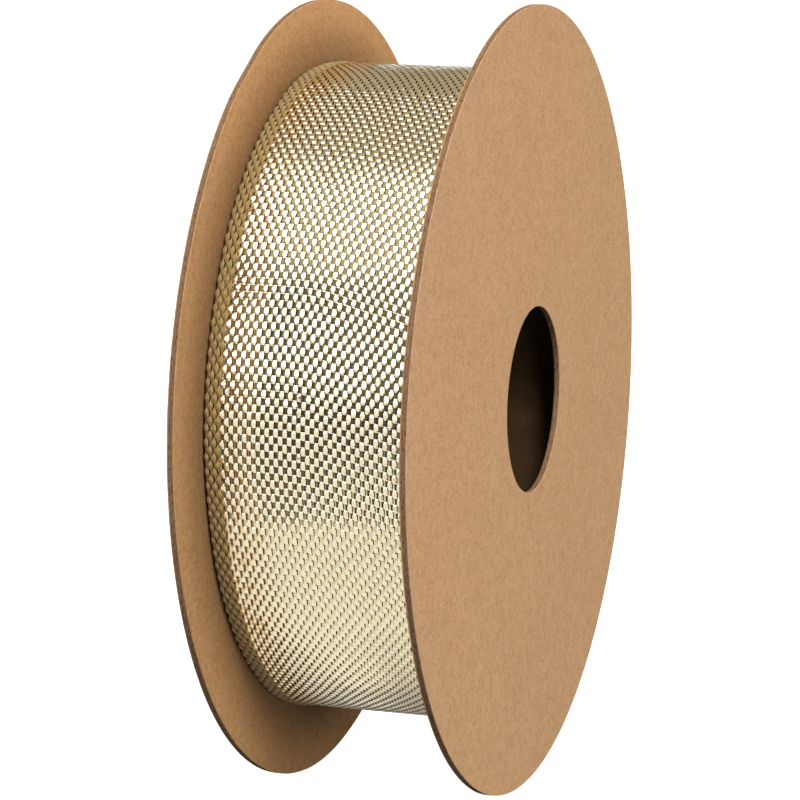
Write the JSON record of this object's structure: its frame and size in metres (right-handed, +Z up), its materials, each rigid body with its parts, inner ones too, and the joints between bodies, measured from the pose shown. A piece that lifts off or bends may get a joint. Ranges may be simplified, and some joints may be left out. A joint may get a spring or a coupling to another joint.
{
  "type": "ribbon spool",
  "caption": "Round kraft-board spool with two flanges on a paper core, wound with flat woven metallic ribbon whose taped free end lifts.",
  "frame": {"origin": "centre of the bore, midway between the two flanges", "axes": "+Z up, +Y along the spool's axis from the front flange to the rear flange, +X towards the side where the ribbon's free end lies"},
  "size_m": [0.14, 0.0408, 0.14],
  "materials": {
    "kraft_liner": "matte kraft paper with fine fibres",
    "grey_board": "matte recycled board, slightly fuzzy at the cut edge",
    "core_paper": "matte wound paper tube",
    "glue": "cream hot-melt glue",
    "masking_tape": "matte paper tape",
    "gold_ribbon": "pale gold metallic film in a coarse plain weave",
    "clear_tape": "clear glossy film"
  },
  "bodies": {
    "spool": {"front_inner_liner": "kraft_liner", "front_board": "grey_board", "front_outer_liner": "kraft_liner", "rear_inner_liner": "kraft_liner", "rear_board": "grey_board", "rear_outer_liner": "kraft_liner", "core_inner_ply": "core_paper", "core_outer_ply": "core_paper", "front_glue": "glue", "rear_glue": "glue", "start_tape": "masking_tape", "ribbon_pack": "gold_ribbon", "ribbon_last_turn": "gold_ribbon"},
    "free_end": {"ribbon_free_end": "gold_ribbon", "end_tape": "clear_tape"}
  },
  "joints": [
    {"name": "free_end_lift", "type": "hinge", "parent": "spool", "child": "free_end", "pos_m": [0.05497, 0, 0.02001], "axis": [0, -1, 0], "range_deg": [0, 90]}
  ]
}
